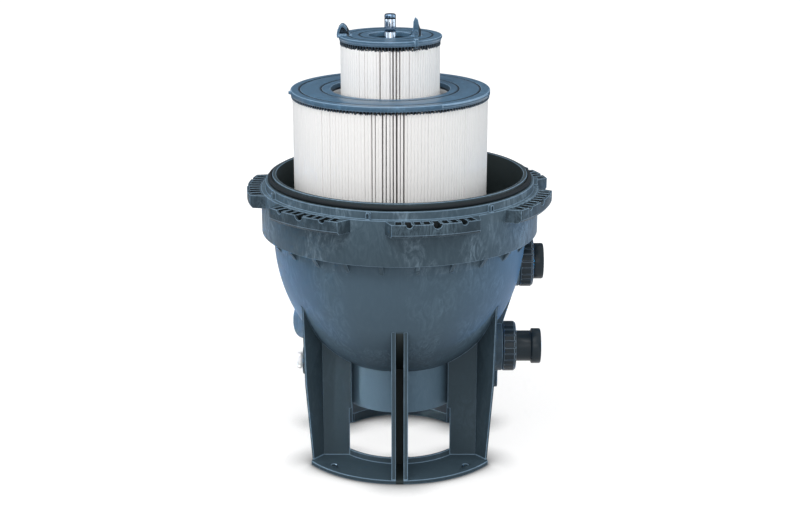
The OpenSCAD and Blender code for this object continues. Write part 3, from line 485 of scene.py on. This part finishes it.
# Painted shade: the fabric goes near black under the top caps.
ends = uneven_height.between(*outer_end) * (x * x + y * y).between(*outer_pack_only)
ends = ends.maths("MAXIMUM", ends, uneven_height.between(*inner_end))
cloth = fabric.blend(felt.between(0.35, 0.75), (0.95, 0.935, 0.92), (0.9, 0.885, 0.875))
fabric.feed("Base Color", fabric.blend(ends, cloth, (0.03, 0.035, 0.04)))
fabric.bump(felt, 0.0002, 0.4)


PACK_BORE = {"outer_pleat_pack": 0.1376, "inner_pleat_pack": 0.0522}
POINTS, TURNED_IN, SHEET = 8, 0.006, 0.0005


def pleated(name, node, count, low, high, comb, gaps, seed, body):
    """A folded sheet round the module's axis: rounded tips nearly side by side, deep valleys. The
    tips turn in at both ends, by the height comb, where the caps' combs hold them."""
    node_low, node_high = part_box(node)
    axis_x = (node_low.x + node_high.x) / 2
    tip = (node_high.y - node_low.y) / 2
    root = PACK_BORE[node]
    share_in = (comb - 0.0015) / (high - low)
    levels = [0.0, share_in * 0.9, share_in] + [0.1 * k for k in range(1, 10)]
    levels += [1 - share_in, 1 - share_in * 0.9, 1.0]
    columns, rows = count * POINTS, len(levels) - 1
    bpy.ops.object.select_all(action="DESELECT")
    bpy.ops.mesh.primitive_grid_add(x_subdivisions=columns, y_subdivisions=rows, size=1.0)
    piece = placed(name)
    chance = random.Random(seed)
    pitch = 2 * math.pi / count
    room = [chance.choice((0.012, 0.012, 0.012, 0.03, 0.05, 0.11)) for _ in range(count)] + [0.012]
    for fold in gaps:
        room[fold] = chance.uniform(0.14, 0.26)
    lean = [chance.uniform(-0.02, 0.02) for _ in range(count)]
    dent = [chance.uniform(0.0, 0.0004) for _ in range(count)]
    for vertex in piece.data.vertices:
        column = round((vertex.co.x + 0.5) * columns) % columns
        row = round((vertex.co.y + 0.5) * rows)
        height = levels[row]
        fold, part = divmod(column, POINTS)
        left, right = room[fold], 1.0 - room[fold + 1]
        share, radius = ((0.0, root), (left, tip - 0.004), (left + 0.01, tip - 0.0005),
                         (left + 0.07, tip), (0.5, tip), (right - 0.07, tip),
                         (right - 0.01, tip - 0.0005), (right, tip - 0.004))[part]
        sway = lean[fold] * (2 * height - 1) + 0.03 * math.sin(5 * height + fold * 0.4)
        angle = (fold + share + (sway if part else 0.0)) * pitch - math.pi / 2
        if part:
            radius -= dent[fold] + (TURNED_IN if row in (0, 1, rows - 1, rows) else 0.0)
        vertex.co = (axis_x + radius * math.cos(angle), radius * math.sin(angle), low + (high - low) * height)
    bpy.ops.object.mode_set(mode="EDIT")
    bpy.ops.mesh.select_all(action="SELECT")
    bpy.ops.mesh.remove_doubles(threshold=0.00001)
    bpy.ops.mesh.normals_make_consistent(inside=False)
    bpy.ops.object.mode_set(mode="OBJECT")
    sheet_depth = piece.modifiers.new("sheet", "SOLIDIFY")
    sheet_depth.thickness, sheet_depth.offset = SHEET, -1.0
    bpy.ops.object.modifier_apply(modifier="sheet")
    bpy.ops.object.shade_smooth_by_angle(angle=math.radians(60.0))
    return dress(piece, body, fabric, "filter_fabric", node)


OPEN_FOLDS = {"outer": (175, 178, 179, 0, 1, 2, 4), "inner": (0, 1, 2, 3, 93)}
pleated("outer_pleats", "outer_pleat_pack", 180, 0.395, 0.844, 0.007, OPEN_FOLDS["outer"], 4, "outer_module")

# Inner module: the same build, taller and narrower, with a finger tab and a fin on its top cap.
# The cap plastic is centred on the bottom cap, whose box the tab doesn't widen.
inner_finish = capping("inner_cap_plastic", "inner_bottom_cap", CAP_BLUE, False)
inner_highlight = capping("inner_cap_edge_highlight", "inner_bottom_cap", CAP_HIGHLIGHT, True)
moulded("inner_cap_top", "inner_top_cap", 0.001, "inner_module", inner_finish, "cap_plastic", inner_highlight)
moulded("inner_cap_bottom", "inner_bottom_cap", 0.0008, "inner_module", inner_finish, "cap_plastic", inner_highlight)

# Finger tab: hollow to the front and closed behind by a thin wall. Its outline is in millimetres,
# inward from the cap's left edge and up from the cap's top.
cap_edge_x, cap_top, tab_front, tab_back, wall_depth = -0.136, 0.974, 0.0125, -0.0015, 0.0028
edge_of_tab = ((22.5, 2.5), (16.5, 14.3), (11.0, 19.2), (7.0, 17.4), (3.0, 9.0), (2.0, 2.5))
bpy.ops.object.select_all(action="DESELECT")
bpy.ops.mesh.primitive_circle_add(vertices=6, fill_type="NGON")
tab_wall = placed("tab_wall")
for vertex, (inward, height) in zip(tab_wall.data.vertices, edge_of_tab):
    vertex.co = (cap_edge_x + inward / 1000, tab_front, cap_top + height / 1000)
tab_depth = tab_wall.modifiers.new("depth", "SOLIDIFY")
tab_depth.thickness, tab_depth.offset = wall_depth, 0.0
tab_wall.location.y = tab_back
bpy.ops.object.modifier_apply(modifier="depth")
bpy.ops.object.transform_apply(location=True, rotation=False, scale=False)
bpy.ops.object.mode_set(mode="EDIT")
bpy.ops.mesh.select_all(action="SELECT")
bpy.ops.mesh.normals_make_consistent(inside=False)
bpy.ops.object.mode_set(mode="OBJECT")
dress(tab_wall, "inner_module", inner_finish, "cap_plastic")

moulded("inner_cage", "inner_core", 0.0003, "inner_module", core_plastic, "core_plastic")
pleated("inner_pleats", "inner_pleat_pack", 96, 0.395, 0.963, 0.0105, OPEN_FOLDS["inner"], 9, "inner_module")
